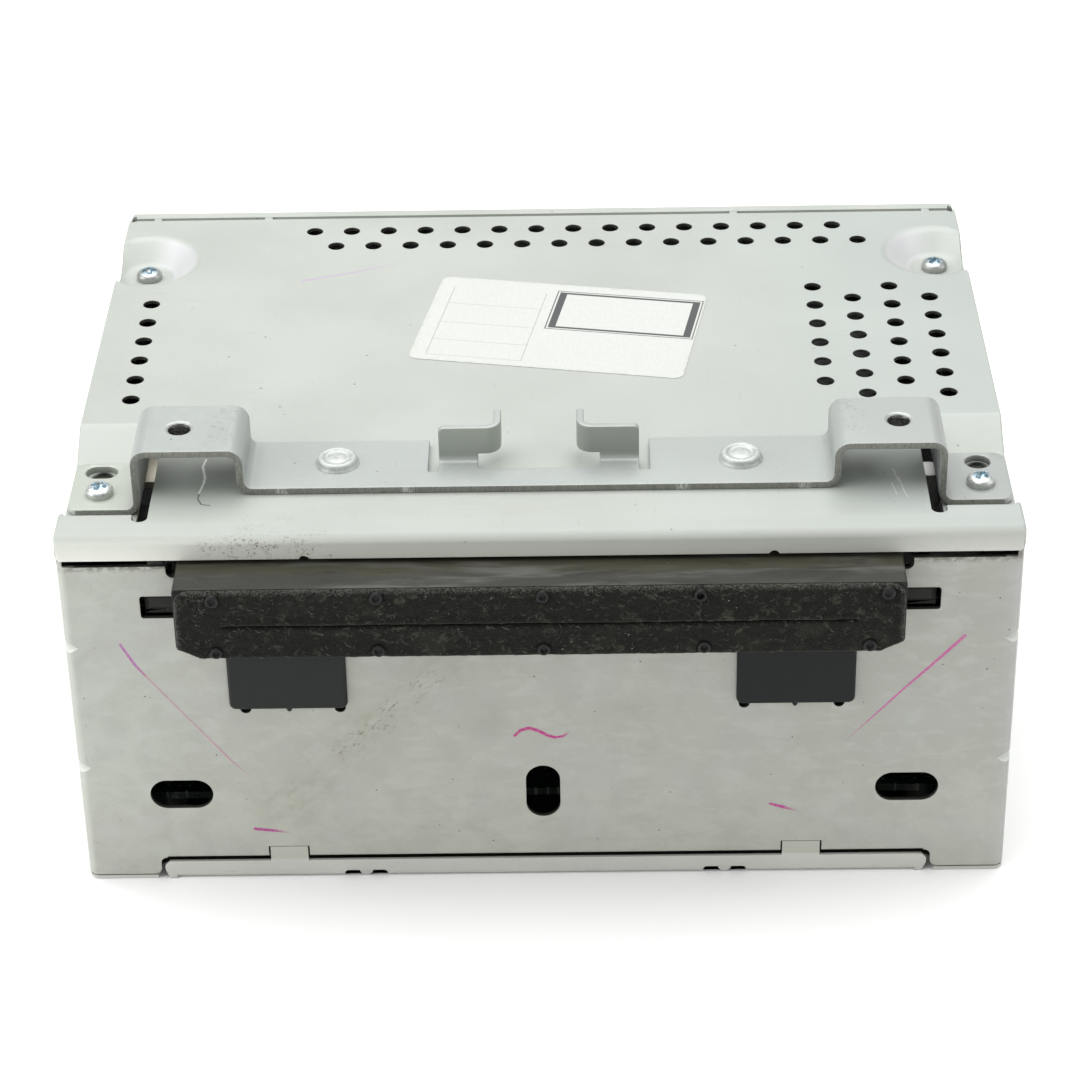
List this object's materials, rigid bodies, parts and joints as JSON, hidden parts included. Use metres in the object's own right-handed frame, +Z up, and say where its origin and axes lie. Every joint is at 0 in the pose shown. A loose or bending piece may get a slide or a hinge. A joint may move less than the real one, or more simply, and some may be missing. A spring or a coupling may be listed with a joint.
{
  "type": "car disc player module",
  "caption": "Slot-loading car CD player module: sheet-steel case, felt-lined disc mouth, strap bracket, and the loading and playing mechanism inside.",
  "frame": {"origin": "centre of the footprint on the plane of the bottom face", "axes": "+Z up, -Y out of the disc mouth (front), +X to the right seen from the front"},
  "size_m": [0.1836, 0.1482, 0.0894],
  "materials": {
    "zinc_sheet": "satin zinc-plated sheet",
    "bracket_steel": "satin zinc-plated strip with sheared edges",
    "mech_steel": "satin plated sheet",
    "bright_steel": "bright turned or drawn steel",
    "screw_steel": "plated screw",
    "motor_steel": "drawn motor can",
    "spring_steel": "spring wire",
    "frame_plastic": "fine-textured black moulding",
    "felt": "dense black felt",
    "paper": "blank ruled paper label",
    "black_plastic": "black moulding",
    "ivory_plastic": "ivory acetal",
    "white_plastic": "white nylon",
    "rubber": "moulded rubber",
    "board_green": "lacquered circuit board",
    "chip_black": "component bodies",
    "gold_pins": "plated contact pins",
    "ribbon_film": "flat flexible film cable",
    "lens": "clear objective lens"
  },
  "bodies": {
    "case": {"top_cover": "zinc_sheet", "chassis_frame": "zinc_sheet", "bottom_cover": "zinc_sheet", "rear_panel": "zinc_sheet", "rear_rim": "zinc_sheet", "strap_bracket": "bracket_steel", "clinch_buttons": "bright_steel", "bracket_screws": "screw_steel", "cover_screws": "screw_steel", "side_screws": "screw_steel", "bottom_screws": "screw_steel", "mouth_frame": "frame_plastic", "felt_surround": "felt", "heat_stakes": "frame_plastic", "paper_label": "paper", "mechanism_deck": "mech_steel", "mechanism_top_plate": "mech_steel", "disc_guide": "black_plastic", "loading_motor": "motor_steel", "gear_plate": "ivory_plastic", "gear_axle": "bright_steel", "roller_arm_pins": "bright_steel", "guide_post": "white_plastic", "clamp_arm_pin": "bright_steel", "clamp_springs": "spring_steel", "traverse_base": "mech_steel", "guide_rods": "bright_steel", "spindle_motor": "motor_steel", "sled_motor": "motor_steel", "suspension_rails": "zinc_sheet", "rubber_dampers": "rubber", "suspension_springs": "spring_steel", "main_board": "board_green", "board_screws": "screw_steel", "board_components": "chip_black", "rear_connector": "black_plastic", "connector_pins": "gold_pins", "servo_board": "board_green", "servo_chips": "chip_black", "ribbon_cable": "ribbon_film", "ribbon_socket": "black_plastic"},
    "upper_lip": {"felt_lip_upper": "felt"},
    "lower_lip": {"felt_lip_lower": "felt"},
    "roller_carrier": {"roller_arm": "mech_steel"},
    "feed_roller": {"feed_roller_shaft": "bright_steel", "feed_roller_rubber": "rubber", "feed_roller_gear": "white_plastic"},
    "gear_train": {"reduction_gear": "white_plastic"},
    "motor_pinion": {"loading_motor_pinion": "white_plastic"},
    "spindle": {"turntable": "black_plastic", "turntable_pad": "rubber"},
    "clamp_lever": {"clamp_arm": "mech_steel"},
    "clamper": {"clamper_disc": "black_plastic"},
    "pickup": {"pickup_sled": "black_plastic", "pickup_lens": "lens"},
    "screw": {"lead_screw": "bright_steel"}
  },
  "joints": [
    {"name": "upper_lip_bend", "type": "hinge", "parent": "case", "child": "upper_lip", "pos_m": [0, -0.073, 0.0697], "axis": [1, 0, 0], "range_deg": [0, 60], "stiffness_Nm_per_rad": 0.004},
    {"name": "lower_lip_bend", "type": "hinge", "parent": "case", "child": "lower_lip", "pos_m": [0, -0.073, 0.0623], "axis": [-1, 0, 0], "range_deg": [0, 60], "stiffness_Nm_per_rad": 0.004},
    {"name": "roller_arm_pivot", "type": "hinge", "parent": "case", "child": "roller_carrier", "pos_m": [0, -0.0365, 0.05744], "axis": [1, 0, 0], "range_deg": [0, 12], "stiffness_Nm_per_rad": 0.05, "springref_deg": -28.65},
    {"name": "feed_roller_spin", "type": "hinge", "parent": "roller_carrier", "child": "feed_roller", "pos_m": [0, -0.0505, 0.0614], "axis": [1, 0, 0], "continuous": true},
    {"name": "reduction_gear_spin", "type": "hinge", "parent": "case", "child": "gear_train", "pos_m": [-0.07, -0.04834, 0.06902], "axis": [1, 0, 0], "continuous": true},
    {"name": "motor_pinion_spin", "type": "hinge", "parent": "case", "child": "motor_pinion", "pos_m": [-0.072, -0.03939, 0.06276], "axis": [1, 0, 0], "continuous": true},
    {"name": "turntable_spin", "type": "hinge", "parent": "case", "child": "spindle", "pos_m": [0, 0.0015, 0.0617], "axis": [0, 0, 1], "continuous": true},
    {"name": "clamp_arm_pivot", "type": "hinge", "parent": "case", "child": "clamp_lever", "pos_m": [0, 0.0555, 0.0699], "axis": [1, 0, 0], "range_deg": [0, 4.5]},
    {"name": "clamper_spin", "type": "hinge", "parent": "clamp_lever", "child": "clamper", "pos_m": [0, 0.00142, 0.07095], "axis": [0, 0.0785, 0.9969], "continuous": true},
    {"name": "pickup_slide", "type": "slide", "parent": "case", "child": "pickup", "axis": [1, 0, 0], "range_m": [0, 0.034]},
    {"name": "lead_screw_spin", "type": "hinge", "parent": "case", "child": "screw", "pos_m": [0, 0.0165, 0.0557], "axis": [1, 0, 0], "range_deg": [-5, 4085]}
  ],
  "couplings": [
    {"joint": "reduction_gear_spin", "follows": "feed_roller_spin", "ratio": -1.1667},
    {"joint": "motor_pinion_spin", "follows": "feed_roller_spin", "ratio": 4.0833},
    {"joint": "lead_screw_spin", "follows": "pickup_slide", "rad_per_m": 2094.4}
  ]
}
